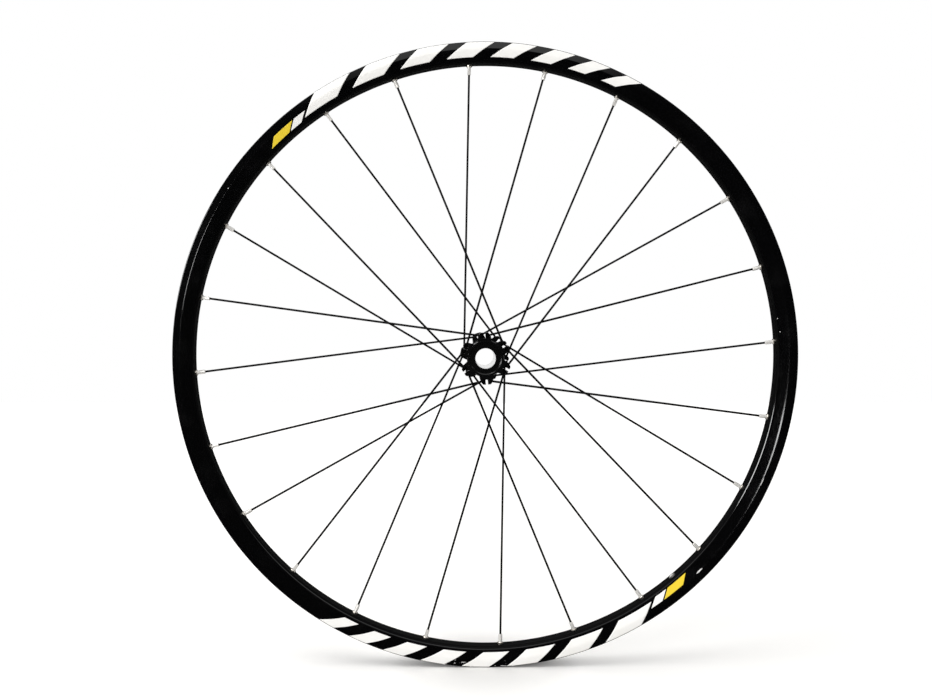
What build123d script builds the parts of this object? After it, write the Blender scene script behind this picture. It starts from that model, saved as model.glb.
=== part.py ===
from build123d import *
from math import acos, atan2, cos, degrees, radians, sin, sqrt, tan
import os

# A laced bicycle wheel for a disc brake: hollow rim, straight-pull spokes and a claw hub.
# The wheel turns about Y. The origin is on the axle in the rim's middle plane, and +Z is up.
# Lengths are in millimetres. Angles are in degrees, counted from +X towards +Z.
# The right side of the wheel faces -Y, and the brake rotor's side is the left one, at +Y.

# Rim section, from the tyre side towards the hub
bead_seat_radius = 311.0
flange_height = 6.0
flange_thickness = 2.0
tyre_channel_width = 17.0
bead_shelf_width = 2.5
well_depth = 4.0
well_width = 8.0
rim_depth = 20.0
rim_width = 22.0
crease_drop = 8.0
bed_width = 11.0
bed_corner_width = 1.6
bed_corner_height = 1.2
rim_side_wall = 1.4
well_wall = 1.4
shelf_wall = 2.0
bed_wall = 2.2
valve_hole_diameter = 6.5

# Lacing: each claw holds two spokes, and each spoke reaches the fifth rim hole from its claw
claws_per_flange = 6
first_spoke_angle = 123.1
lead_in_rim_holes = 5
spoke_row_gap = 2.6

# Spokes, nipples and the inserts that hold the nipples in the spoke bed
spoke_diameter = 2.0
spoke_head_diameter = 3.6
spoke_head_length = 1.6
nipple_flats = 3.2
nipple_corner_cut = 0.6
nipple_reach = 10.0
nipple_head_diameter = 5.0
nipple_head_length = 2.2
nipple_thread_length = 9.0
nipple_clearance = 0.1
thread_clearance = 0.02
insert_wall = 0.6
insert_collar_width = 0.4
insert_collar_height = 1.6

# Hub claws
flange_right = -33.0
flange_left = 24.0
claw_length = 9.0
claw_root_width = 14.5
claw_waist_width = 12.5
claw_waist_height = 3.5
claw_tip_width = 9.6
claw_tip_height = 7.1
claw_tip_corner = 1.2
spoke_seat_height = 4.0
spoke_seat_offset = 3.6
claw_slot_width = 2.2
claw_slot_floor = 1.4
spoke_slot_clearance = 0.12

# Hub barrel and the seat of the brake rotor
barrel_wall = 2.5
waist_wall = 1.8
waist_taper_length = 7.0
sleeve_gap = 1.2
barrel_chamfer = 0.9
rotor_face = 39.5
rotor_boss_length = 8.0
rotor_boss_root_width = 11.0
rotor_boss_tip_width = 6.4
rotor_boss_edge = 3.6
rotor_bolt_circle = 44.0
rotor_bolt_hole_diameter = 4.2
rotor_bolt_count = 6
rotor_pilot_wall = 1.45
rotor_pilot_length = 2.0

# Bearings of 20 x 32 x 7 mm round an open axle bore
axle_bore_diameter = 20.0
bearing_diameter = 32.0
bearing_width = 7.0
bearing_recess = 1.6
bearing_fit = 0.02
race_wall = 1.7
ball_diameter = 3.4
balls_per_bearing = 9
ball_clearance = 0.04
sleeve_wall = 2.0
cap_bore_clearance = 0.3
cap_rim_width = 1.0
cap_thickness = 1.2
cap_dish = 0.6

flange_radius = bead_seat_radius + flange_height
bed_radius = flange_radius - rim_depth
crease_radius = flange_radius - crease_drop
corner_radius = bed_radius + bed_corner_height
well_radius = bead_seat_radius - well_depth
cavity_top = well_radius - well_wall
cavity_shoulder = bead_seat_radius - shelf_wall
cavity_floor = bed_radius + bed_wall
lip_half_width = tyre_channel_width / 2 + flange_thickness
corner_half_width = bed_width / 2 + bed_corner_width

spoke_count = 4 * claws_per_flange
spoke_pitch = 360 / spoke_count
lead_angle = lead_in_rim_holes * spoke_pitch
valve_angle = first_spoke_angle - (spoke_count - 1) / 2 * spoke_pitch
spoke_radius = spoke_diameter / 2
nipple_radius = sqrt(nipple_flats**2 + (nipple_flats - 2 * nipple_corner_cut) ** 2) / 2
insert_bore_radius = nipple_radius + nipple_clearance
insert_radius = insert_bore_radius + insert_wall
collar_radius = insert_radius + insert_collar_width

bearing_radius = bearing_diameter / 2
axle_radius = axle_bore_diameter / 2
sleeve_radius = axle_radius + sleeve_wall
shell_bore_radius = sleeve_radius + sleeve_gap
waist_radius = shell_bore_radius + waist_wall
barrel_radius = bearing_radius + barrel_wall
pilot_radius = bearing_radius + rotor_pilot_wall
claw_root_radius = bearing_radius + barrel_wall / 2
spoke_seat_radius = barrel_radius + spoke_seat_height

right_face = flange_right - claw_length / 2
left_claw_face = flange_left + claw_length / 2
left_face = rotor_face + rotor_pilot_length
right_shoulder = right_face + bearing_recess + bearing_width
left_shoulder = left_face - bearing_recess - bearing_width

os.makedirs("parts", exist_ok=True)


def finish(piece, name):
    piece.part.label = name
    export_step(piece.part, f"parts/{name}.step")


def at(radius, angle, axial=0):
    return Vector(radius * cos(radians(angle)), axial, radius * sin(radians(angle)))


def side_half_width(radius):
    """Half the rim's width over its side walls, which taper from the crease to the spoke bed."""
    share = min((radius - corner_radius) / (crease_radius - corner_radius), 1)
    return corner_half_width + share * (rim_width / 2 - corner_half_width)


def spoke_axis(index):
    """A spoke's plane at the seat of its head, its length to the spoke bed and its tilt there."""
    rim_angle = first_spoke_angle - index * spoke_pitch
    on_right = index % 2 == 1
    hand = 1 if index // 2 % 2 == 0 else -1
    flange = flange_right if on_right else flange_left
    outward = -1 if on_right else 1
    row = flange + outward * hand * spoke_row_gap / 2
    claw_angle = rim_angle - hand * lead_angle
    beside = at(spoke_seat_offset, claw_angle + hand * 90)
    seat = at(spoke_seat_radius, claw_angle, row) + beside
    reach = at(bed_radius, rim_angle) - seat
    tilt = acos(reach.normalized().dot(at(1, rim_angle)))
    return Plane(origin=seat, z_dir=reach), reach.length, tilt


spoke_axes = [spoke_axis(index) for index in range(spoke_count)]
bed_planes = [seat_plane.offset(length) for seat_plane, length, tilt in spoke_axes]
steepest = max(tilt for seat_plane, length, tilt in spoke_axes)
collar_seat = -collar_radius * tan(steepest) - nipple_clearance
insert_end = bed_wall / cos(steepest) + collar_radius * tan(steepest)
nipple_seat = insert_end + nipple_clearance

# Rim: a revolved box section, with the tyre channel outside and the spoke bed inside
shelf_edge = tyre_channel_width / 2 - bead_shelf_width
well_slope = (shelf_edge - well_width / 2) / well_depth
well_wall_across = well_wall * sqrt(1 + well_slope**2)
cavity_top_half = well_width / 2 + well_wall_across - well_slope * well_wall
cavity_shoulder_half = shelf_edge + well_wall_across - well_slope * shelf_wall
with BuildPart() as rim:
    with BuildSketch(Plane.XY):
        with BuildLine():
            Polyline(
                (well_radius, 0),
                (well_radius, well_width / 2),
                (bead_seat_radius, shelf_edge),
                (bead_seat_radius, tyre_channel_width / 2),
                (flange_radius, tyre_channel_width / 2),
                (flange_radius, lip_half_width),
                (crease_radius, rim_width / 2),
                (corner_radius, corner_half_width),
                (bed_radius, bed_width / 2),
                (bed_radius, 0),
            )
            mirror(about=Plane.XZ)
        make_face()
        with BuildLine():
            Polyline(
                (cavity_top, 0),
                (cavity_top, cavity_top_half),
                (cavity_shoulder, cavity_shoulder_half),
                (cavity_shoulder, side_half_width(cavity_shoulder) - rim_side_wall),
                (cavity_floor, side_half_width(cavity_floor) - rim_side_wall),
                (cavity_floor, 0),
            )
            mirror(about=Plane.XZ)
        make_face(mode=Mode.SUBTRACT)
    revolve(axis=Axis.Y)
    with BuildSketch(*bed_planes):
        RegularPolygon(insert_radius + thread_clearance, 8, major_radius=False)
    extrude(amount=insert_end, both=True, mode=Mode.SUBTRACT)
    with BuildSketch(Plane(origin=at(bed_radius, valve_angle), z_dir=at(1, valve_angle))):
        Circle(valve_hole_diameter / 2)
    extrude(amount=rim_depth, both=True, mode=Mode.SUBTRACT)
finish(rim, "rim")

# Spokes: straight rods with a head that seats in its claw
for number, (seat_plane, length, tilt) in enumerate(spoke_axes, 1):
    with BuildPart(seat_plane) as spoke:
        Cylinder(
            spoke_radius,
            length - nipple_reach + nipple_thread_length,
            align=(Align.CENTER, Align.CENTER, Align.MIN),
        )
        with BuildSketch(seat_plane.offset(-spoke_head_length)):
            RegularPolygon(spoke_head_diameter / 2, 8)
        extrude(amount=spoke_head_length)
    finish(spoke, f"spoke_{number:02d}")

# Inserts: screwed into the spoke bed from outside, with a collar on the bed
with BuildPart() as insert:
    with BuildSketch(Plane.XY.offset(collar_seat - insert_collar_height)):
        RegularPolygon(collar_radius, 8, major_radius=False)
        RegularPolygon(insert_bore_radius, 8, major_radius=False, mode=Mode.SUBTRACT)
    extrude(amount=insert_collar_height)
    with BuildSketch(Plane.XY.offset(collar_seat)):
        RegularPolygon(insert_radius, 8, major_radius=False)
        RegularPolygon(insert_bore_radius, 8, major_radius=False, mode=Mode.SUBTRACT)
    extrude(amount=insert_end - collar_seat)

with BuildPart() as inserts:
    with Locations(*bed_planes):
        add(insert.part)
finish(inserts, "nipple_inserts")

# Nipples: square for the spoke key, with the head behind the insert and a bore for the spoke's end
with BuildPart() as nipple:
    with BuildSketch(Plane.XY.offset(-nipple_reach)):
        body = Rectangle(nipple_flats, nipple_flats)
        chamfer(body.vertices(), nipple_corner_cut)
    extrude(amount=nipple_reach + nipple_seat)
    with BuildSketch(Plane.XY.offset(nipple_seat)):
        RegularPolygon(nipple_head_diameter / 2, 8)
    extrude(amount=nipple_head_length)
    with BuildSketch(Plane.XY.offset(-nipple_reach)):
        RegularPolygon(spoke_radius + thread_clearance, 8, major_radius=False)
    extrude(amount=nipple_thread_length + thread_clearance, mode=Mode.SUBTRACT)

with BuildPart() as nipples:
    with Locations(*bed_planes):
        add(nipple.part)
finish(nipples, "nipples")

# Hub shell: a waisted barrel with a ring of claws at each end and the rotor bosses on the left
with BuildPart() as hub_shell:
    with BuildSketch(Plane.XY):
        with BuildLine():
            Polyline(
                (bearing_radius, right_face),
                (barrel_radius - barrel_chamfer, right_face),
                (barrel_radius, right_face + barrel_chamfer),
                (barrel_radius, right_face + claw_length),
                (waist_radius, right_face + claw_length + waist_taper_length),
                (waist_radius, left_claw_face - claw_length - waist_taper_length),
                (barrel_radius, left_claw_face - claw_length),
                (barrel_radius, rotor_face),
                (pilot_radius, rotor_face),
                (pilot_radius, left_face),
                (bearing_radius, left_face),
                (bearing_radius, left_shoulder),
                (shell_bore_radius, left_shoulder),
                (shell_bore_radius, right_shoulder),
                (bearing_radius, right_shoulder),
                close=True,
            )
        make_face()
    revolve(axis=Axis.Y)

    # Each claw is a block split down its middle, with a stepped seat for a spoke in either half
    slot_tilt = degrees(
        atan2(
            bed_radius * cos(radians(lead_angle)) - spoke_seat_radius,
            bed_radius * sin(radians(lead_angle)) - spoke_seat_offset,
        )
    )
    tip_radius = barrel_radius + claw_tip_height
    tip_side_radius = tip_radius - claw_tip_corner
    waist_height = barrel_radius + claw_waist_height
    rod_slot_half = spoke_radius + spoke_slot_clearance
    head_slot_half = spoke_head_diameter / 2 + spoke_slot_clearance
    steepest_lean = max(abs(seat_plane.z_dir.Y) for seat_plane, length, tilt in spoke_axes)
    slot_step = head_slot_half * steepest_lean
    right_start = first_spoke_angle - spoke_pitch - lead_angle
    left_start = first_spoke_angle - lead_angle
    rings = (
        (Plane.XZ.offset(-right_face), right_start, -1),
        (Plane.XZ.offset(-left_claw_face), left_start, 1),
    )
    for outer_face, start, inward in rings:
        with BuildSketch(outer_face):
            with PolarLocations(0, claws_per_flange, start):
                Polygon(
                    (claw_root_radius, -claw_root_width / 2),
                    (waist_height, -claw_waist_width / 2),
                    (tip_side_radius, -claw_tip_width / 2),
                    (tip_radius, claw_tip_corner - claw_tip_width / 2),
                    (tip_radius, claw_tip_width / 2 - claw_tip_corner),
                    (tip_side_radius, claw_tip_width / 2),
                    (waist_height, claw_waist_width / 2),
                    (claw_root_radius, claw_root_width / 2),
                    align=None,
                )
            with PolarLocations(barrel_radius + claw_slot_floor, claws_per_flange, start):
                Rectangle(
                    claw_tip_height,
                    claw_slot_width,
                    align=(Align.MIN, Align.CENTER),
                    mode=Mode.SUBTRACT,
                )
        extrude(amount=inward * claw_length)
        for hand in (1, -1):
            row_depth = (claw_length - hand * spoke_row_gap) / 2
            seat_place = Location(
                (spoke_seat_radius, hand * spoke_seat_offset),
                hand * (90 - slot_tilt),
            )
            with BuildSketch(outer_face):
                with PolarLocations(0, claws_per_flange, start):
                    with Locations(seat_place):
                        Polygon(
                            (-2 * spoke_head_length, -head_slot_half),
                            (slot_step, -head_slot_half),
                            (slot_step, -rod_slot_half),
                            (claw_root_width, -rod_slot_half),
                            (claw_root_width, rod_slot_half),
                            (slot_step, rod_slot_half),
                            (slot_step, head_slot_half),
                            (-2 * spoke_head_length, head_slot_half),
                            align=None,
                        )
            extrude(amount=inward * (row_depth + head_slot_half), mode=Mode.SUBTRACT)

    # The six bosses of the rotor stand in line with the left claws
    boss_tip_radius = rotor_bolt_circle / 2 + rotor_boss_edge
    with BuildSketch(Plane.XZ.offset(-rotor_face)):
        with PolarLocations(0, rotor_bolt_count, left_start):
            Polygon(
                (claw_root_radius, -rotor_boss_root_width / 2),
                (boss_tip_radius, -rotor_boss_tip_width / 2),
                (boss_tip_radius, rotor_boss_tip_width / 2),
                (claw_root_radius, rotor_boss_root_width / 2),
                align=None,
            )
        with PolarLocations(rotor_bolt_circle / 2, rotor_bolt_count, left_start):
            Circle(rotor_bolt_hole_diameter / 2, mode=Mode.SUBTRACT)
    extrude(amount=rotor_boss_length)
finish(hub_shell, "hub_shell")

# Axle sleeve: holds the two inner races apart
with BuildPart() as axle_sleeve:
    with BuildSketch(Plane.XZ.offset(-right_shoulder)):
        Circle(sleeve_radius)
        Circle(axle_radius, mode=Mode.SUBTRACT)
    extrude(amount=right_shoulder - left_shoulder)
finish(axle_sleeve, "axle_sleeve")

# Bearings: two grooved races with a row of balls, behind a dust cap in the mouth of the shell
outer_race_radius = bearing_radius - bearing_fit
outer_land = outer_race_radius - race_wall
inner_land = axle_radius + race_wall
ball_pitch_radius = (inner_land + outer_land) / 2
ball_room = ball_diameter / 2 + ball_clearance
half_race = bearing_width / 2

for side, shoulder, outward in (("right", right_shoulder, -1), ("left", left_shoulder, 1)):
    middle = shoulder + outward * half_race
    face = shoulder + outward * (bearing_width + bearing_recess)

    with BuildPart() as outer_race:
        with BuildSketch(Plane.XY):
            with Locations((0, middle)):
                Polygon(
                    (outer_race_radius, -half_race),
                    (outer_race_radius, half_race),
                    (outer_land, half_race),
                    (outer_land, ball_room),
                    (ball_pitch_radius + ball_room, ball_room),
                    (ball_pitch_radius + ball_room, -ball_room),
                    (outer_land, -ball_room),
                    (outer_land, -half_race),
                    align=None,
                )
        revolve(axis=Axis.Y)
    finish(outer_race, f"outer_race_{side}")

    with BuildPart() as inner_race:
        with BuildSketch(Plane.XY):
            with Locations((0, middle)):
                Polygon(
                    (axle_radius, -half_race),
                    (axle_radius, half_race),
                    (inner_land, half_race),
                    (inner_land, ball_room),
                    (ball_pitch_radius - ball_room, ball_room),
                    (ball_pitch_radius - ball_room, -ball_room),
                    (inner_land, -ball_room),
                    (inner_land, -half_race),
                    align=None,
                )
        revolve(axis=Axis.Y)
    finish(inner_race, f"inner_race_{side}")

    # The balls have few faces: a cube with every edge cut back to the ball
    with BuildPart(Plane.XZ.offset(-middle)) as balls:
        with PolarLocations(ball_pitch_radius, balls_per_bearing):
            Box(ball_diameter, ball_diameter, ball_diameter)
        chamfer(balls.edges(), ball_diameter / 2 * (2 - sqrt(2)))
    finish(balls, f"bearing_balls_{side}")

    with BuildPart() as dust_cap:
        with BuildSketch(Plane.XY):
            with BuildLine():
                Polyline(
                    (axle_radius + cap_bore_clearance, face - outward * cap_thickness),
                    (outer_race_radius, face - outward * cap_thickness),
                    (outer_race_radius, face),
                    (outer_race_radius - cap_rim_width, face - outward * cap_dish),
                    (axle_radius + cap_bore_clearance, face - outward * cap_dish),
                    close=True,
                )
            make_face()
        revolve(axis=Axis.Y)
    finish(dust_cap, f"dust_cap_{side}")
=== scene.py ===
import math
import bmesh
import bpy
import numpy as np
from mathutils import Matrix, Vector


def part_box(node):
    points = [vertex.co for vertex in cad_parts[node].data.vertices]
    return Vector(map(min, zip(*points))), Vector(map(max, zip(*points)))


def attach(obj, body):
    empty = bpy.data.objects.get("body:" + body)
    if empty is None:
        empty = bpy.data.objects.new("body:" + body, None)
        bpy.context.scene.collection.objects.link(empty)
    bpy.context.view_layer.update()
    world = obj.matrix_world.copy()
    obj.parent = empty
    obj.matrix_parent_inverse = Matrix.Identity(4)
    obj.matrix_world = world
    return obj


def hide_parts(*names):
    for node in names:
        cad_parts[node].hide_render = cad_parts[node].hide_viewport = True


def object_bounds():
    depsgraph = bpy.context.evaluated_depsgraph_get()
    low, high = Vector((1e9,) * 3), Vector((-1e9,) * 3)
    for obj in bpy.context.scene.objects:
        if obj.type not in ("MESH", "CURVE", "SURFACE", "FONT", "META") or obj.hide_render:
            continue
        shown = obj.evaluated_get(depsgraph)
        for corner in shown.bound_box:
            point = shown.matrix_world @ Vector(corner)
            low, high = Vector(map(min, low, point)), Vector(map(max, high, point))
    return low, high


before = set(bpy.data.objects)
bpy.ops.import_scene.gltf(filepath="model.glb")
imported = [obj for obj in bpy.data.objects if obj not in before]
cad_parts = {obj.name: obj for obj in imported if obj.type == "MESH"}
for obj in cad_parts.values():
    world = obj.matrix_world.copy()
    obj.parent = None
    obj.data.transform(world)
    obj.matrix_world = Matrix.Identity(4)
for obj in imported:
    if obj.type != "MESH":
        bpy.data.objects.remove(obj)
cadLow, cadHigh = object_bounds()
scene = bpy.context.scene
scene.view_settings.view_transform = "Standard"
print("frame loaded:", len(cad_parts), "nodes")

# Metres, with the axle along Y. Angles are in degrees from +X towards +Z, and the camera stands at -Y.


def addNode(tree, kind, values=None, **settings):
    # a value that is itself a socket is linked, and any other is set on the socket
    node = tree.nodes.new(kind)
    for key, setting in settings.items():
        setattr(node, key, setting)
    for socket, value in (values or {}).items():
        if isinstance(value, bpy.types.NodeSocket):
            tree.links.new(value, node.inputs[socket])
        else:
            node.inputs[socket].default_value = value
    return node


def emptyTree(owner):
    owner.use_nodes = True
    owner.node_tree.nodes.clear()
    return owner.node_tree


def newFinish(name, sockets):
    # a bare Principled shader with its fixed sockets set on it
    material = bpy.data.materials.new(name)
    tree = emptyTree(material)
    shader = addNode(tree, "ShaderNodeBsdfPrincipled", sockets)
    addNode(tree, "ShaderNodeOutputMaterial", {"Surface": shader.outputs[0]})
    return material, tree, shader


def dressShader(tree, shader, colour, roughness, normal=None):
    tree.links.new(colour, shader.inputs["Base Color"])
    tree.links.new(roughness, shader.inputs["Roughness"])
    if normal is not None:
        tree.links.new(normal, shader.inputs["Normal"])


def mathNode(tree, operation, *values, clamp=False):
    node = addNode(tree, "ShaderNodeMath", dict(enumerate(values)), operation=operation, use_clamp=clamp)
    return node.outputs[0]


def noiseNode(tree, vector, scale, detail=3.0, roughness=0.5):
    values = {"Vector": vector, "Scale": scale, "Detail": detail, "Roughness": roughness}
    return addNode(tree, "ShaderNodeTexNoise", values).outputs[0]


def rangeNode(tree, value, source, target, smooth=False):
    # carries the value from one pair of limits to the other
    values = {0: value, 1: source[0], 2: source[1], 3: target[0], 4: target[1]}
    kind = "SMOOTHSTEP" if smooth else "LINEAR"
    return addNode(tree, "ShaderNodeMapRange", values, interpolation_type=kind).outputs[0]


def blendNode(tree, share, first, second):
    values = {0: share, 6: first, 7: second}  # 6 and 7 are the Mix node's two colours
    return addNode(tree, "ShaderNodeMix", values, data_type="RGBA").outputs[2]


def bumpNode(tree, height, distance):
    values = {"Height": height, "Distance": distance, "Strength": 1.0}
    return addNode(tree, "ShaderNodeBump", values).outputs[0]


def lengthNode(tree, vector):
    return addNode(tree, "ShaderNodeVectorMath", {0: vector}, operation="LENGTH").outputs["Value"]


def objectPlace(tree):
    return addNode(tree, "ShaderNodeTexCoord").outputs["Object"]


def wheelParts(tree):
    # turn round the axle in radians, distance from it, and place along it
    parts = addNode(tree, "ShaderNodeSeparateXYZ", {0: objectPlace(tree)}).outputs
    turn = mathNode(tree, "ARCTAN2", parts[2], parts[0])
    flat = addNode(tree, "ShaderNodeCombineXYZ", {0: parts[0], 1: parts[2]}).outputs[0]
    return turn, lengthNode(tree, flat), parts[1]


def wheelPlace(tree, aroundScale, acrossScale):
    # the same three scaled into one vector, so that a pattern runs round the wheel
    turn, distance, along = wheelParts(tree)
    around = mathNode(tree, "MULTIPLY", turn, aroundScale)
    out = mathNode(tree, "MULTIPLY", distance, acrossScale)
    level = mathNode(tree, "MULTIPLY", along, acrossScale)
    return addNode(tree, "ShaderNodeCombineXYZ", {0: around, 1: out, 2: level}).outputs[0]


# In the looks below, rough is the roughness from the smooth places to the rough ones. A grain or cloud is
# a noise's scale, detail and roughness. A pair of scales is for the ways round the wheel and across it,
# and heights are in metres
noiseSpread = (0.3, 0.7)  # most of a noise's values lie between these
wholeShare = (0.0, 1.0)

# Rim: a chip has its turn, distance, length and width.
# The scuffs fade out between two angles from their middle, and fade in between two distances
rimGloss = {
    "specular": 0.8,
    "dark": (0.0012, 0.0012, 0.0014, 1),
    "dusty": (0.0032, 0.0032, 0.0034, 1),
    "bare": (0.8, 0.79, 0.77, 1),
    "rough": (0.05, 0.08),
    "dustRough": 0.02,
    "bareRough": 0.3,
    "lineScales": (26.0, 2600.0),
    "lineDetail": 2.0,
    "lineHeight": 0.0000005,
    "dustGrain": (38.0, 5.0, 0.62),
    "dustSpread": (0.5, 0.78),
    "chips": [
        (-44.9, 0.3082, 0.0076, 0.0013),
        (-24.2, 0.3086, 0.0080, 0.0004),
        (146.6, 0.3098, 0.0012, 0.0006),
        (7.6, 0.2992, 0.0009, 0.0006),
        (5.0, 0.3003, 0.0009, 0.0006),
    ],
    "tearGrain": (1400.0, 2.0),
    "tearReach": 2.0,
    "scuffTurn": -92.0,
    "scuffFade": (6.8, 17.0),
    "scuffRise": (0.3085, 0.3105),
    "scuffScales": (80.0, 800.0),
    "scuffGrain": (1.0, 2.0, 0.55),
    "scuffLimit": 0.65,
}


def chipMask(tree, turn, distance):
    # each chip is an ellipse round the rim with a torn edge
    torn = noiseNode(tree, objectPlace(tree), *rimGloss["tearGrain"])
    edge = mathNode(tree, "MULTIPLY", torn, rimGloss["tearReach"])
    mask = None
    for place, radius, length, width in rimGloss["chips"]:
        around = mathNode(tree, "SUBTRACT", turn, math.radians(place))
        around = mathNode(tree, "MULTIPLY", around, 2 * radius / length)
        across = mathNode(tree, "SUBTRACT", distance, radius)
        across = mathNode(tree, "MULTIPLY", across, 2 / width)
        squares = [mathNode(tree, "POWER", part, 2.0) for part in (around, across)]
        inside = mathNode(tree, "LESS_THAN", mathNode(tree, "ADD", *squares), edge)
        mask = inside if mask is None else mathNode(tree, "MAXIMUM", mask, inside)
    return mask


def scuffMask(tree, turn, distance):
    # torn specks near the lip, on the stretch that has stood on the floor
    speck = noiseNode(tree, wheelPlace(tree, *rimGloss["scuffScales"]), *rimGloss["scuffGrain"])
    middle = math.radians(rimGloss["scuffTurn"])
    off = mathNode(tree, "ABSOLUTE", mathNode(tree, "SUBTRACT", turn, middle))
    near = rangeNode(tree, off, np.radians(rimGloss["scuffFade"]), (1.0, 0.0))
    high = rangeNode(tree, distance, rimGloss["scuffRise"], wholeShare)
    level = mathNode(tree, "MULTIPLY", mathNode(tree, "MULTIPLY", near, high), speck)
    return mathNode(tree, "GREATER_THAN", level, rimGloss["scuffLimit"])


def rimFinish():
    # gloss black with faint polishing lines round it, dust, and wear down to the metal on its right side
    material, tree, shader = newFinish("rimGlossBlack", {"Specular IOR Level": rimGloss["specular"]})
    turn, distance, along = wheelParts(tree)
    lines = noiseNode(tree, wheelPlace(tree, *rimGloss["lineScales"]), 1.0, rimGloss["lineDetail"])
    grain = noiseNode(tree, objectPlace(tree), *rimGloss["dustGrain"])
    dust = rangeNode(tree, grain, rimGloss["dustSpread"], wholeShare, smooth=True)
    rightSide = mathNode(tree, "LESS_THAN", along, 0.0)
    worn = mathNode(tree, "MAXIMUM", chipMask(tree, turn, distance), scuffMask(tree, turn, distance))
    worn = mathNode(tree, "MULTIPLY", worn, rightSide)
    black = blendNode(tree, dust, rimGloss["dark"], rimGloss["dusty"])
    colour = blendNode(tree, worn, black, rimGloss["bare"])
    polish = rangeNode(tree, lines, noiseSpread, rimGloss["rough"])
    dustDull = mathNode(tree, "MULTIPLY", dust, rimGloss["dustRough"])
    wornDull = mathNode(tree, "MULTIPLY", worn, rimGloss["bareRough"])
    roughness = mathNode(tree, "ADD", polish, mathNode(tree, "ADD", dustDull, wornDull))
    dressShader(tree, shader, colour, roughness, bumpNode(tree, lines, rimGloss["lineHeight"]))
    return material


# Drawn blacks: the spoke bed and the tyre channel
drawnLooks = {
    "bedMatteBlack": {
        "specular": 0.03,
        "dark": (0.0012, 0.0012, 0.00126, 1),
        "pale": (0.0032, 0.0032, 0.00336, 1),
        "rough": (0.38, 0.5),
    },
    "channelSatinBlack": {
        "specular": 0.3,
        "dark": (0.004, 0.004, 0.0042, 1),
        "pale": (0.01, 0.01, 0.0105, 1),
        "rough": (0.3, 0.42),
    },
}
drawnGrain = {
    "lineScales": (14.0, 1800.0),
    "lineDetail": 3.0,
    "cloud": (46.0, 4.0),
    "height": 0.000008,
}


def drawnFinish(name):
    # lines round the rim from the drawing of its section, and a slow change of black
    look = drawnLooks[name]
    material, tree, shader = newFinish(name, {"Specular IOR Level": look["specular"]})
    lines = noiseNode(tree, wheelPlace(tree, *drawnGrain["lineScales"]), 1.0, drawnGrain["lineDetail"])
    cloud = noiseNode(tree, objectPlace(tree), *drawnGrain["cloud"])
    colour = blendNode(tree, cloud, look["dark"], look["pale"])
    roughness = rangeNode(tree, lines, noiseSpread, look["rough"])
    dressShader(tree, shader, colour, roughness, bumpNode(tree, lines, drawnGrain["height"]))
    return material


# Bare metals
metalLooks = {
    "drilledMetal": {"metallic": 1.0, "colour": (0.8, 0.79, 0.77), "rough": (0.25, 0.4), "rings": 3000.0},
    "nippleSilver": {"metallic": 0.3, "colour": (0.97, 0.95, 0.91), "rough": (0.2, 0.3), "rings": 2400.0},
    "collarMetal": {"metallic": 1.0, "colour": (0.86, 0.81, 0.73), "rough": (0.22, 0.32), "rings": 2400.0},
    "sleeveSilver": {"metallic": 1.0, "colour": (0.9, 0.9, 0.89), "rough": (0.1, 0.18), "rings": 3000.0},
    "bearingSteel": {"metallic": 1.0, "colour": (0.78, 0.78, 0.78), "rough": (0.14, 0.24), "rings": 3000.0},
}
metalGrain = {
    "aroundScale": 4.0,
    "ringDetail": 2.0,
    "cloud": (420.0, 3.0),
    "shade": 0.78,
    "height": 0.00001,
}


def bareMetal(name):
    # fine rings round the axle, and a metal a little uneven in colour
    look = metalLooks[name]
    material, tree, shader = newFinish(name, {"Metallic": look["metallic"]})
    ringPlace = wheelPlace(tree, metalGrain["aroundScale"], look["rings"])
    rings = noiseNode(tree, ringPlace, 1.0, metalGrain["ringDetail"])
    cloud = noiseNode(tree, objectPlace(tree), *metalGrain["cloud"])
    darker = tuple(metalGrain["shade"] * c for c in look["colour"])
    colour = blendNode(tree, cloud, darker + (1,), look["colour"] + (1,))
    roughness = rangeNode(tree, rings, noiseSpread, look["rough"])
    dressShader(tree, shader, colour, roughness, bumpNode(tree, rings, metalGrain["height"]))
    return material


# Grained blacks: satin spokes, the hub's blasted and anodised shell, and the smoother caps, whose sloping
# rims catch the light
blackLooks = {
    "spokeSatinBlack": {
        "specular": 0.12,
        "dark": (0.0012, 0.0012, 0.0013, 1),
        "pale": (0.003, 0.003, 0.0032, 1),
        "grain": (900.0, 4.0, 0.6),
        "cloud": (45.0, 2.0),
        "rough": (0.4, 0.52),
        "height": 0.00002,
    },
    "hubAnodisedBlack": {
        "specular": 0.36,
        "dark": (0.0012, 0.0012, 0.0013, 1),
        "pale": (0.0032, 0.0032, 0.0034, 1),
        "grain": (3800.0, 3.0, 0.6),
        "cloud": (60.0, 4.0),
        "rough": (0.13, 0.18),
        "height": 0.000006,
    },
    "capBlack": {
        "specular": 0.5,
        "dark": (0.0014, 0.0014, 0.0014, 1),
        "pale": (0.0034, 0.0034, 0.0035, 1),
        "grain": (2600.0, 4.0),
        "cloud": (2600.0, 4.0),
        "rough": (0.1, 0.14),
        "height": 0.000002,
    },
}


def grainedBlack(name):
    # a fine grain in the roughness and the bump, and a cloud in the black
    look = blackLooks[name]
    material, tree, shader = newFinish(name, {"Specular IOR Level": look["specular"]})
    grain = noiseNode(tree, objectPlace(tree), *look["grain"])
    cloud = noiseNode(tree, objectPlace(tree), *look["cloud"])
    colour = blendNode(tree, cloud, look["dark"], look["pale"])
    roughness = rangeNode(tree, grain, noiseSpread, look["rough"])
    dressShader(tree, shader, colour, roughness, bumpNode(tree, grain, look["height"]))
    return material


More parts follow.
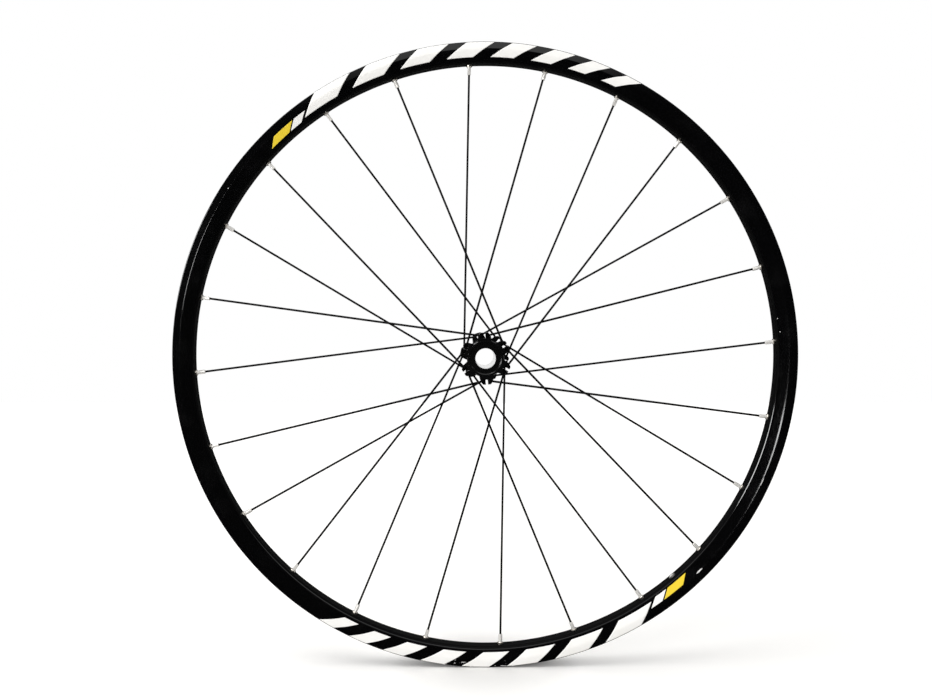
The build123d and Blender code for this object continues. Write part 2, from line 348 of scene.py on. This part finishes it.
# Films: printed colours under lacquer
filmLooks = {
    "filmWhite": {"clean": (0.95, 0.945, 0.93, 1), "worn": (0.88, 0.865, 0.83, 1)},
    "filmYellow": {"clean": (0.9, 0.68, 0.03, 1), "worn": (0.8, 0.56, 0.03, 1)},
}
filmGrain = {
    "specular": 0.4,
    "cloud": (55.0, 3.0),
    "scuffGrain": (620.0, 5.0, 0.7),
    "scuffSpread": (0.62, 0.72),
    "scuffShare": 0.35,
    "rough": (0.3, 0.5),
}


def filmFinish(name):
    # slightly uneven in colour, and duller where it is scuffed
    look = filmLooks[name]
    material, tree, shader = newFinish(name, {"Specular IOR Level": filmGrain["specular"]})
    cloud = noiseNode(tree, objectPlace(tree), *filmGrain["cloud"])
    speck = noiseNode(tree, objectPlace(tree), *filmGrain["scuffGrain"])
    scuff = rangeNode(tree, speck, filmGrain["scuffSpread"], wholeShare, smooth=True)
    tint = blendNode(tree, cloud, look["clean"], look["worn"])
    share = mathNode(tree, "MULTIPLY", scuff, filmGrain["scuffShare"])
    colour = blendNode(tree, share, tint, look["worn"])
    dressShader(tree, shader, colour, rangeNode(tree, scuff, wholeShare, filmGrain["rough"]))
    return material


rimBlack = rimFinish()
bedBlack = drawnFinish("bedMatteBlack")
channelBlack = drawnFinish("channelSatinBlack")
holeMetal = bareMetal("drilledMetal")
nippleSilver = bareMetal("nippleSilver")
collarMetal = bareMetal("collarMetal")
sleeveSilver = bareMetal("sleeveSilver")
bearingSteel = bareMetal("bearingSteel")
spokeBlack = grainedBlack("spokeSatinBlack")
hubBlack = grainedBlack("hubAnodisedBlack")
capBlack = grainedBlack("capBlack")
filmWhite = filmFinish("filmWhite")
filmYellow = filmFinish("filmYellow")
print("finishes made:", len(bpy.data.materials))

meshRule = {"weldDistance": 2e-6, "sharpAngle": 35}  # metres and degrees


def addPiece(name, points, finish, closed="", sharp=meshRule["sharpAngle"]):
    # joins each point of every (u, v) grid to the next along u and along v, then welds seams and poles.
    # The parameters named in closed run round, so that their last point joins the first
    copies, countU, countV = points.reshape((-1,) + points.shape[-3:]).shape[:3]
    u = np.arange(countU if "u" in closed else countU - 1)[:, None]
    v = np.arange(countV if "v" in closed else countV - 1)[None, :]
    nextU, nextV = (u + 1) % countU, (v + 1) % countV
    corners = [u * countV + v, nextU * countV + v, nextU * countV + nextV, u * countV + nextV]
    quads = np.stack(np.broadcast_arrays(*corners), -1).reshape(-1, 4)
    quads = (quads + np.arange(copies)[:, None, None] * countU * countV).reshape(-1, 4)
    mesh = bpy.data.meshes.new(name)
    mesh.vertices.add(copies * countU * countV)
    mesh.vertices.foreach_set("co", points.astype(np.float32).ravel())
    mesh.loops.add(quads.size)
    mesh.loops.foreach_set("vertex_index", quads.astype(np.int32).ravel())
    mesh.polygons.add(len(quads))
    mesh.polygons.foreach_set("loop_start", np.arange(0, quads.size, 4, dtype=np.int32))
    mesh.update(calc_edges=True)
    weld = bmesh.new()
    weld.from_mesh(mesh)
    bmesh.ops.remove_doubles(weld, verts=weld.verts, dist=meshRule["weldDistance"])
    bmesh.ops.recalc_face_normals(weld, faces=weld.faces)
    weld.to_mesh(mesh)
    weld.free()
    return placeMesh(name, mesh, finish, sharp)


def placeMesh(name, mesh, finish, sharp):
    # smooth, apart from edges sharper than this angle
    mesh.shade_smooth()
    mesh.set_sharp_from_angle(angle=math.radians(sharp))
    mesh.materials.append(finish)
    piece = bpy.data.objects.new(name, mesh)
    scene.collection.objects.link(piece)
    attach(piece, "wheel")
    return piece


def softLoop(corners, reachBefore, reachAfter, steps):
    # each corner of a closed outline becomes a parabola between points at these reaches on its two sides,
    # with one more point a little further out on each side, which keeps the flat next to it flat
    furtherOut = 1.25
    corner = np.array(corners, float)[:, None]
    before = np.roll(corner, 1, 0) - corner
    after = np.roll(corner, -1, 0) - corner
    before *= np.array(reachBefore, float)[:, None, None] / np.linalg.norm(before, axis=-1, keepdims=True)
    after *= np.array(reachAfter, float)[:, None, None] / np.linalg.norm(after, axis=-1, keepdims=True)
    s = np.linspace(0, 1, steps)[None, :, None]
    arc = corner + (1 - s) ** 2 * before + s**2 * after
    first, last = corner + furtherOut * before, corner + furtherOut * after
    return np.concatenate([first, arc, last], 1).reshape(-1, 2)


def roundAxle(radius, turn, along):
    # the point at this distance from the axle, this turn round it and this place along it
    return np.stack([radius * np.cos(turn), along + 0 * turn, radius * np.sin(turn)], -1)


def turned(outline, count):
    # carries an outline of (distance from the axle, place along it) round the axle
    turn = np.linspace(0, 2 * np.pi, count, endpoint=False)[:, None]
    return roundAxle(outline[None, :, 0], turn, outline[None, :, 1])


# Rim: one turned skin. Each corner has its distance, its half width, and how far it is softened before it
# and after it
rimShape = {
    "well": (0.3070, 0.0040, 0.0008, 0.0008),
    "shelf": (0.3110, 0.0060, 0.0008, 0.0008),
    "seat": (0.3110, 0.0085, 0.0006, 0.0006),
    "lipInside": (0.3170, 0.0085, 0.0008, 0.0008),
    "lipOutside": (0.3170, 0.0105, 0.0008, 0.0008),
    "crease": (0.3090, 0.0110, 0.0010, 0.0026),
    "corner": (0.2982, 0.0071, 0.0024, 0.0009),
    "bed": (0.2970, 0.0055, 0.0006, 0.0006),
    "around": 480,
    "steps": 7,
    "bedInset": 0.0001,  # the matte bed stops this short of its corner
    "belowWell": 0.0010,  # the satin channel reaches this far past its well and its seats
    "pastSeat": 0.0002,
    "valveTurn": -49.4,
    "valveRadius": 0.00325,
    "valveBevel": 0.0005,
    "valveSides": 48,
    "cutterOver": 0.004,
}
cornerOrder = ("well", "shelf", "seat", "lipInside", "lipOutside", "crease", "corner", "bed")
rimCorners = [rimShape[k] for k in cornerOrder]
rimCorners += [(r, -y, after, before) for r, y, before, after in reversed(rimCorners)]
rimOutline = softLoop(
    [(r, -y) for r, y, before, after in rimCorners],
    [before for r, y, before, after in rimCorners],
    [after for r, y, before, after in rimCorners],
    rimShape["steps"],
)


def cutValveHole(piece):
    # a turned cutter: straight through both walls, and flared where it meets the spoke bed
    radius, bevel = rimShape["valveRadius"], rimShape["valveBevel"]
    flare, bed = radius + 2 * bevel, rimShape["bed"][0]
    low, high = bed - rimShape["cutterOver"], rimShape["lipOutside"][0] + rimShape["cutterOver"]
    along = np.array([low, low, bed - bevel, bed + bevel, high, high])
    wide = np.array([0, flare, flare, radius, radius, 0])
    turn = np.linspace(0, 2 * np.pi, rimShape["valveSides"], endpoint=False)[:, None]
    angle = math.radians(rimShape["valveTurn"])
    outward = np.array([math.cos(angle), 0, math.sin(angle)])
    sideways = np.array([-math.sin(angle), 0, math.cos(angle)])
    axleWay = np.array([0, 1, 0])
    across = (wide * np.cos(turn))[..., None] * sideways + (wide * np.sin(turn))[..., None] * axleWay
    grid = along[None, :, None] * outward + across
    cutter = addPiece("valveCutter", grid, holeMetal, closed="u")
    cut = piece.modifiers.new("valveHole", "BOOLEAN")
    cut.object, cut.operation, cut.solver = cutter, "DIFFERENCE", "EXACT"
    cut.material_mode = "TRANSFER"
    whole = bpy.data.meshes.new_from_object(piece.evaluated_get(bpy.context.evaluated_depsgraph_get()))
    weld = bmesh.new()
    weld.from_mesh(whole)
    bmesh.ops.dissolve_degenerate(weld, dist=meshRule["weldDistance"], edges=weld.edges)
    weld.to_mesh(whole)
    weld.free()
    piece.modifiers.clear()
    piece.data = whole
    bpy.data.objects.remove(cutter)


def paintBed(piece):
    # faces nearer to the axle than the bed's corner are matte, and those in the tyre channel are satin
    mesh = piece.data
    mesh.materials.append(bedBlack)
    mesh.materials.append(channelBlack)
    centre = np.empty(len(mesh.polygons) * 3)
    mesh.polygons.foreach_get("center", centre)
    centre = centre.reshape(-1, 3)
    index = np.empty(len(mesh.polygons), np.int32)
    mesh.polygons.foreach_get("material_index", index)
    distance, across = np.hypot(centre[:, 0], centre[:, 2]), np.abs(centre[:, 1])
    cornerDistance, cornerAcross = rimShape["corner"][:2]
    matte = (distance < cornerDistance) & (across < cornerAcross - rimShape["bedInset"])
    inChannel = distance > rimShape["well"][0] - rimShape["belowWell"]
    satin = inChannel & (across < rimShape["seat"][1] + rimShape["pastSeat"])
    index[matte & (index == 0)] = len(mesh.materials) - 2
    index[satin & (index == 0)] = len(mesh.materials) - 1
    mesh.polygons.foreach_set("material_index", index)


rimSkin = addPiece("rimSkin", turned(rimOutline, rimShape["around"]), rimBlack, closed="uv")
cutValveHole(rimSkin)
paintBed(rimSkin)
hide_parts("rim")
print("rim:", len(rimSkin.data.polygons), "faces,", [m.name for m in rimSkin.data.materials])

# Films on the rim's sides: slanted bars that shorten along the run, after a small two-colour block.
# Starts, lengths, gaps and the slant are angles, and the whole run comes again at the second place
filmShape = {
    "inner": 0.3021,
    "outer": 0.3163,
    "start": 126.9,
    "firstBar": 7.4,
    "shrink": 0.88,
    "bars": 8,
    "gap": 3.3,
    "slant": 4.0,
    "second": 177.4,
    "blockRows": (0.3006, 0.3074),
    "yellowBlock": (135.2, 130.6),
    "whiteBlock": (130.2, 127.6),
    "lift": 0.00006,
    "thickness": 0.00012,
    "pointsAround": 25,
    "pointsOut": 15,
}


def sideHalfWidth(distance):
    # half the rim's width at a distance from the axle, read off the second half of its softened outline,
    # which comes from the bed and passes the corner, the crease and the lip
    perCorner = rimShape["steps"] + 2
    wayBack = cornerOrder[::-1]
    first = len(cornerOrder) + wayBack.index("corner")
    last = len(cornerOrder) + wayBack.index("lipOutside")
    side = rimOutline[first * perCorner : (last + 1) * perCorner]
    return np.interp(distance, side[:, 0], side[:, 1])


def addFilm(name, blocks, inner, outer, finish):
    # each block is a slanted patch that runs round the rim and outwards, a hair above its side wall
    around = np.linspace(0, 1, filmShape["pointsAround"])[:, None]
    distance = inner + (outer - inner) * np.linspace(0, 1, filmShape["pointsOut"])[None, :]
    lean = filmShape["slant"] * (distance - filmShape["inner"]) / (filmShape["outer"] - filmShape["inner"])
    height = sideHalfWidth(distance) + filmShape["lift"]
    otherSide = np.array([-1, -1, 1])  # half a turn about Z
    patches = []
    for first, last in blocks:
        for half in (0, filmShape["second"]):
            front = roundAxle(distance, np.radians(first + (last - first) * around - lean + half), -height)
            patches += [front, front * otherSide]
    piece = addPiece(name, np.array(patches), finish)
    wall = piece.modifiers.new("thickness", "SOLIDIFY")
    wall.thickness, wall.offset = filmShape["thickness"], -1


barLengths = filmShape["firstBar"] * filmShape["shrink"] ** np.arange(filmShape["bars"])
barStarts = filmShape["start"] - np.concatenate([[0], np.cumsum(barLengths + filmShape["gap"])[:-1]])
bars = list(zip(barStarts, barStarts - barLengths))
addFilm("filmBars", bars, filmShape["inner"], filmShape["outer"], filmWhite)
addFilm("filmBlockYellow", [filmShape["yellowBlock"]], *filmShape["blockRows"], filmYellow)
addFilm("filmBlockWhite", [filmShape["whiteBlock"]], *filmShape["blockRows"], filmWhite)
print("films on both sides of the rim:", 2 * len(bars), "bars on each")

# Lacing: the same rule as the solids follow, as arrays over the spokes
lacing = {
    "count": 24,
    "firstTurn": 123.1,
    "lead": 75.0,
    "flangeRight": -0.0330,
    "flangeLeft": 0.0240,
    "rowGap": 0.0026,
    "seatRadius": 0.0225,
    "seatOffset": 0.0036,
    "bedRadius": 0.2970,
}
spokeIndex = np.arange(lacing["count"])
rimTurn = np.radians(lacing["firstTurn"] - 360 / lacing["count"] * spokeIndex)
onRight = spokeIndex % 2 == 1
hand = np.where(spokeIndex // 2 % 2 == 0, 1, -1)
flange = np.where(onRight, lacing["flangeRight"], lacing["flangeLeft"])
row = flange + np.where(onRight, -1, 1) * hand * lacing["rowGap"] / 2
clawTurn = rimTurn - hand * math.radians(lacing["lead"])
sideTurn = clawTurn + hand * math.pi / 2
spokeSeat = roundAxle(lacing["seatRadius"], clawTurn, row) + roundAxle(lacing["seatOffset"], sideTurn, 0)
bedPoint = roundAxle(lacing["bedRadius"], rimTurn, 0)
spokeAxis = bedPoint - spokeSeat
spokeLength = np.linalg.norm(spokeAxis, axis=1)
spokeAxis = spokeAxis / spokeLength[:, None]
spokeSide = np.cross(spokeAxis, np.array([0, 1, 0]))
spokeSide = spokeSide / np.linalg.norm(spokeSide, axis=1, keepdims=True)
spokeFront = np.cross(spokeAxis, spokeSide)


def alongSpokes(origin, station, radius, count, twist=0.0):
    # rings round each spoke's axis, turned by its twist. The radius is per station, or per station and angle
    turn = np.linspace(0, 2 * np.pi, count, endpoint=False)
    turn = turn + np.broadcast_to(twist, len(origin))[:, None, None]
    ring = radius if np.ndim(radius) == 2 else np.asarray(radius)[:, None] * np.ones(count)
    side = (ring * np.cos(turn))[..., None] * spokeSide[:, None, None]
    front = (ring * np.sin(turn))[..., None] * spokeFront[:, None, None]
    station = np.broadcast_to(station, (len(origin), ring.shape[0]))
    return origin[:, None, None] + station[..., None, None] * spokeAxis[:, None, None] + side + front


# Spokes: a domed head, a neck, a slightly thinner middle and the end in the nipple, turned about one line.
# The bases of the dome and of the bevel behind it, and the bevel's width, are shares of the head
rodShape = {
    "headLength": 0.0016,
    "headRadius": 0.0018,
    "domeBase": 0.4,
    "bevelBase": 0.12,
    "bevelWidth": 0.9,
    "domeSteps": 6,
    "neckStep": 0.00002,
    "endRadius": 0.00105,
    "midRadius": 0.00104,
    "endRun": 0.016,
    "taper": 0.010,
    "inNipple": 0.001,
    "sides": 20,
}


def addRods():
    # rings at these stations along a spoke: a quarter ellipse for the dome, then straight runs and tapers
    head, wide, end, mid = (rodShape[k] for k in ("headLength", "headRadius", "endRadius", "midRadius"))
    base, run, taper = rodShape["domeBase"], rodShape["endRun"], rodShape["taper"]
    last = spokeLength[:, None] - rodShape["inNipple"]
    dome = np.radians(np.linspace(90, 0, rodShape["domeSteps"]))
    domeStation = -base * head - (1 - base) * head * np.sin(dome)
    headStation = np.concatenate([domeStation, [-rodShape["bevelBase"] * head, 0, rodShape["neckStep"]]])
    headWidth = np.concatenate([wide * np.cos(dome), [wide, rodShape["bevelWidth"] * wide, end]])
    near = [last * 0 + run, last * 0 + run + taper]
    far = [last - run - taper, last - run, last, last]
    station = np.concatenate([last * 0 + headStation] + near + far, 1)
    width = np.concatenate([headWidth, [end, mid, mid, end, end, 0]])
    grid = alongSpokes(spokeSeat, station, width, rodShape["sides"])
    for number in range(lacing["count"]):
        rod = addPiece(f"rod{number + 1:02d}", grid[number], spokeBlack, closed="v")
        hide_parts(f"spoke_{number + 1:02d}")


addRods()
print("spokes:", lacing["count"])

# Nipples: square for the key, going round towards the collar
nippleShape = {
    "reach": 0.0100,
    "halfFlats": 0.0016,
    "shankRadius": 0.00175,
    "mouthRadius": 0.00108,
    "mouthBevel": 0.0001,
    "bevel": 0.00035,
    "squareRun": 0.0056,
    "shoulder": 0.0012,
    "roundPower": 2,
    "bevelPower": 3,
    "squarePower": 7,
    "inBed": 0.0020,
    "twist": 137.5,
    "sides": 32,
    "sharp": 30,
}


def addNipples():
    # each ring is a superellipse: its half width divided by the p-th root of |cos|^p + |sin|^p, where the
    # power p sets how square it is
    reach, flats, bevel = nippleShape["reach"], nippleShape["halfFlats"], nippleShape["bevel"]
    mouth, mouthBevel = nippleShape["mouthRadius"], nippleShape["mouthBevel"]
    square, shank = nippleShape["squareRun"], nippleShape["shankRadius"]
    end = reach + nippleShape["inBed"]
    station = np.array([end, mouthBevel, 0, 0, bevel, square, square + nippleShape["shoulder"], end])
    width = np.array([mouth, mouth, mouth + mouthBevel, flats - bevel, flats, flats, shank, shank])
    smooth, edged, key = nippleShape["roundPower"], nippleShape["bevelPower"], nippleShape["squarePower"]
    power = np.array([smooth, smooth, smooth, edged, key, key, smooth, smooth])[:, None]
    turn = np.linspace(0, 2 * np.pi, nippleShape["sides"], endpoint=False)
    ring = width[:, None] / (np.abs(np.cos(turn)) ** power + np.abs(np.sin(turn)) ** power) ** (1 / power)
    start = bedPoint - reach * spokeAxis
    twist = np.radians(nippleShape["twist"]) * spokeIndex  # no two nipples stop at the same turn
    grid = alongSpokes(start, station, ring, nippleShape["sides"], twist)
    piece = addPiece("nippleSet", grid, nippleSilver, "uv", nippleShape["sharp"])
    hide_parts("nipples")


# Collars: the inserts' shoulders just above the spoke bed, with a shank that goes into it
collarShape = {
    "bore": 0.0019,
    "mouthBevel": 0.0002,
    "radius": 0.0030,
    "bottom": 0.0022,
    "height": 0.0017,
    "bevel": 0.0004,
    "shank": 0.00255,
    "inBed": 0.0012,
    "sides": 32,
    "sharp": 30,
}


def addCollars():
    # round rings at these stations: the bore, the bevelled shoulder and the shank
    low, high = -collarShape["bottom"], collarShape["height"] - collarShape["bottom"]
    bevel, mouthBevel, end = collarShape["bevel"], collarShape["mouthBevel"], collarShape["inBed"]
    wide, bore, shank = collarShape["radius"], collarShape["bore"], collarShape["shank"]
    station = np.array([end, low + mouthBevel, low, low, low + bevel, high - bevel / 2, high, high, end])
    shoulder = [wide - bevel, wide, wide, wide - bevel / 2]
    width = np.array([bore, bore, bore + mouthBevel] + shoulder + [shank, shank])
    grid = alongSpokes(bedPoint, station, width, collarShape["sides"])
    piece = addPiece("collarSet", grid, collarMetal, "uv", collarShape["sharp"])
    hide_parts("nipple_inserts")


addNipples()
addCollars()
print("nipples and collars:", lacing["count"])

# Hub shell: a merged copy of the solid with its edges softened, so that they catch the light
hubShape = {"softEdge": 0.0003, "steps": 2, "edgeAngle": 12, "flatAngle": 0.6}


def addSoftHub():
    # faces in one plane are joined, and edges sharper than edgeAngle are rounded
    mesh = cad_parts["hub_shell"].data.copy()
    mesh.materials.clear()
    weld = bmesh.new()
    weld.from_mesh(mesh)
    bmesh.ops.remove_doubles(weld, verts=weld.verts, dist=meshRule["weldDistance"])
    flat = math.radians(hubShape["flatAngle"])
    bmesh.ops.dissolve_limit(weld, angle_limit=flat, verts=weld.verts, edges=weld.edges)
    weld.to_mesh(mesh)
    weld.free()
    piece = placeMesh("hubBody", mesh, hubBlack, hubShape["edgeAngle"])
    soft = piece.modifiers.new("softEdges", "BEVEL")
    soft.width, soft.segments = hubShape["softEdge"], hubShape["steps"]
    soft.limit_method, soft.angle_limit = "ANGLE", math.radians(hubShape["edgeAngle"])
    soft.use_clamp_overlap = True
    soft.harden_normals = True
    merge = piece.modifiers.new("mergePoints", "WELD")
    merge.merge_threshold = meshRule["weldDistance"]
    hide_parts("hub_shell")
    return piece


hubBody = addSoftHub()
print("hub:", len(hubBody.data.polygons), "faces before softening")

# Dust caps: a dished ring with a raised rim, at each mouth of the hub
capShape = {
    "bore": 0.0103,
    "outer": 0.01598,
    "rimWidth": 0.0010,
    "thickness": 0.0012,
    "dish": 0.0006,
    "soft": 0.00018,
    "steps": 5,
    "around": 160,
}


def addCap(name, node, face, outward):
    # the ring's outline of five softened corners, from the back at the bore, carried round the axle
    bore, outer, floor = capShape["bore"], capShape["outer"], face - outward * capShape["dish"]
    back, rimInside = face - outward * capShape["thickness"], capShape["outer"] - capShape["rimWidth"]
    corners = [(bore, back), (outer, back), (outer, face), (rimInside, floor), (bore, floor)]
    soft = [capShape["soft"]] * len(corners)
    outline = softLoop(corners, soft, soft, capShape["steps"])
    cap = addPiece(name, turned(outline, capShape["around"]), capBlack, closed="uv")
    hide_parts(node)


addCap("capRight", "dust_cap_right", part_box("dust_cap_right")[0][1], -1)
addCap("capLeft", "dust_cap_left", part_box("dust_cap_left")[1][1], 1)
print("dust caps: 2")

# Solids: the sleeve and the bearings show as they are, and a solid that isn't listed is a spoke
cadFinish = {
    "axle_sleeve": sleeveSilver,
    "inner_race_right": bearingSteel,
    "inner_race_left": bearingSteel,
    "outer_race_right": bearingSteel,
    "outer_race_left": bearingSteel,
    "bearing_balls_right": bearingSteel,
    "bearing_balls_left": bearingSteel,
    "rim": rimBlack,
    "hub_shell": hubBlack,
    "dust_cap_right": capBlack,
    "dust_cap_left": capBlack,
    "nipples": nippleSilver,
    "nipple_inserts": collarMetal,
}
for nodeName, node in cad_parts.items():
    node.data.materials.clear()
    node.data.materials.append(cadFinish.get(nodeName, spokeBlack))
print("finishes on the solids:", len(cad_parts))

# Floor: pale, with a glow that only the camera sees, and that grows away from the wheel's centre
floorShape = {
    "size": 6.0,
    "gap": 0.0001,
    "colour": (0.86, 0.85, 0.83),
    "speckle": (60.0, 4.0),
    "shade": 0.97,
    "nearDistance": (0.3172, 0.332),
    "nearGlow": (0.0, 0.24),
    "farDistance": (0.332, 2.5),
    "farGlow": (0.0, 0.36),
}


def addFloor():
    # one square face just under the wheel
    half, low = floorShape["size"] / 2, cadLow[2] - floorShape["gap"]
    corners = [(-half, -half, low), (half, -half, low), (half, half, low), (-half, half, low)]
    mesh = bpy.data.meshes.new("floor")
    mesh.from_pydata(corners, [], [(0, 1, 2, 3)])
    material = bpy.data.materials.new("floorPale")
    tree = emptyTree(material)
    speckle = noiseNode(tree, objectPlace(tree), *floorShape["speckle"])
    darker = tuple(floorShape["shade"] * c for c in floorShape["colour"])
    tint = blendNode(tree, speckle, floorShape["colour"] + (1,), darker + (1,))
    matte = addNode(tree, "ShaderNodeBsdfDiffuse", {"Color": tint})
    seen = addNode(tree, "ShaderNodeLightPath").outputs["Is Camera Ray"]
    away = lengthNode(tree, objectPlace(tree))
    near = rangeNode(tree, away, floorShape["nearDistance"], floorShape["nearGlow"])
    far = rangeNode(tree, away, floorShape["farDistance"], floorShape["farGlow"])
    strength = mathNode(tree, "MULTIPLY", seen, mathNode(tree, "ADD", near, far))
    glow = addNode(tree, "ShaderNodeEmission", {"Strength": strength})
    both = addNode(tree, "ShaderNodeAddShader", {0: matte.outputs[0], 1: glow.outputs[0]})
    addNode(tree, "ShaderNodeOutputMaterial", {"Surface": both.outputs[0]})
    mesh.materials.append(material)
    floor = bpy.data.objects.new("floor", mesh)
    scene.collection.objects.link(floor)
    floor.visible_glossy = False


# Surround: the fades and the opening have limits of a direction's part along the axle, and the band and
# overhead of its part upwards
surroundShape = {
    "dark": 0.005,
    "frontFade": (-0.35, 0.1),
    "backFade": (0.2, 0.5),
    "opening": (0.985, 0.995),
    "bandFoot": (0.36, 0.43),
    "bandHead": (0.47, 0.51),
    "bandLevel": 0.75,
    "bandRest": 0.03,
    "overhead": (0.66, 0.8),
    "plainLight": 0.62,
}


def addSurround():
    # white where it is seen, even light on the object, and in reflections dark before and behind the wheel,
    # white round its sides, overhead and straight through the axle, with a bright band above the camera
    world = bpy.data.worlds.new("surround")
    scene.world = world
    tree = emptyTree(world)
    path = addNode(tree, "ShaderNodeLightPath").outputs
    direction = addNode(tree, "ShaderNodeTexCoord").outputs["Generated"]
    parts = addNode(tree, "ShaderNodeSeparateXYZ", {0: direction}).outputs
    along, up, dark = parts[1], parts[2], surroundShape["dark"]
    front = rangeNode(tree, along, surroundShape["frontFade"], (dark, 1.0), smooth=True)
    back = rangeNode(tree, along, surroundShape["backFade"], (1.0, dark), smooth=True)
    opening = rangeNode(tree, along, surroundShape["opening"], wholeShare, smooth=True)
    foot = rangeNode(tree, up, surroundShape["bandFoot"], (0.0, surroundShape["bandLevel"]), smooth=True)
    head = rangeNode(tree, up, surroundShape["bandHead"], (1.0, surroundShape["bandRest"]), smooth=True)
    overhead = rangeNode(tree, up, surroundShape["overhead"], wholeShare, smooth=True)
    sides = mathNode(tree, "MAXIMUM", mathNode(tree, "MULTIPLY", front, back), opening)
    above = mathNode(tree, "MAXIMUM", mathNode(tree, "MULTIPLY", foot, head), overhead)
    mirrored = mathNode(tree, "MAXIMUM", sides, above)
    seen = mathNode(tree, "MAXIMUM", path["Is Camera Ray"], path["Is Transmission Ray"])
    glossy = path["Is Glossy Ray"]
    plain = mathNode(tree, "SUBTRACT", 1.0, mathNode(tree, "MAXIMUM", seen, glossy))
    level = mathNode(tree, "ADD", seen, mathNode(tree, "MULTIPLY", mirrored, glossy), clamp=True)
    level = mathNode(tree, "ADD", level, mathNode(tree, "MULTIPLY", plain, surroundShape["plainLight"]))
    light = addNode(tree, "ShaderNodeBackground", {"Color": (1, 1, 1, 1), "Strength": level})
    addNode(tree, "ShaderNodeOutputWorld", {"Surface": light.outputs[0]})


# Lamps: one above, and three that draw the lines of light on the rim's crease, its corner and the hub
lampShapes = {
    "topLamp": {"place": (-0.9, -0.4, 1.8), "target": (0, 0, -0.1), "size": (1.6, 1.6), "power": 25},
    "creaseLamp": {"place": (-1.50, -7.85, 0.21), "target": (0, 0, 0), "size": (1.26, 0.38), "power": 11},
    "cornerLamp": {"place": (-3.85, -4.39, 1.20), "target": (0, 0, 0), "size": (2.2, 1.5), "power": 92},
    "hubLamp": {"place": (-3.48, -1.88, 0.61), "target": (0, 0, 0), "size": (1.6, 1.6), "power": 19},
}


def addLamp(name):
    # an elliptical lamp, tilted and swung so that it faces its target
    shape = lampShapes[name]
    lamp = bpy.data.lights.new(name, "AREA")
    lamp.shape, lamp.energy = "ELLIPSE", shape["power"]
    lamp.size, lamp.size_y = shape["size"]
    holder = bpy.data.objects.new(name, lamp)
    scene.collection.objects.link(holder)
    holder.location = shape["place"]
    toward = np.array(shape["target"], float) - np.array(shape["place"], float)
    tilt = math.atan2(math.hypot(toward[0], toward[1]), -toward[2])
    swing = math.atan2(toward[1], toward[0]) - math.pi / 2
    holder.rotation_euler = (tilt, 0, swing)


addFloor()
addSurround()
for lampName in lampShapes:
    addLamp(lampName)
print("stage: floor, surround and", len(lampShapes), "lamps")

# Camera: in front of the wheel's right side, a little to the left of the axle and above it
cameraView = {
    "lens": 33.22,
    "sensor": 36.0,
    "clipStart": 0.01,
    "place": (-0.0184, -0.8803, 0.0321),
    "toRight": -0.06,
    "down": 1.61,
}
camera = bpy.data.objects.new("camera", bpy.data.cameras.new("camera"))
scene.collection.objects.link(camera)
camera.data.sensor_fit = "HORIZONTAL"
camera.data.sensor_width = cameraView["sensor"]
camera.data.lens = cameraView["lens"]
camera.data.clip_start = cameraView["clipStart"]
camera.location = cameraView["place"]
camera.rotation_euler = (math.radians(90 - cameraView["down"]), 0, math.radians(-cameraView["toRight"]))
scene.camera = camera
print("camera set")
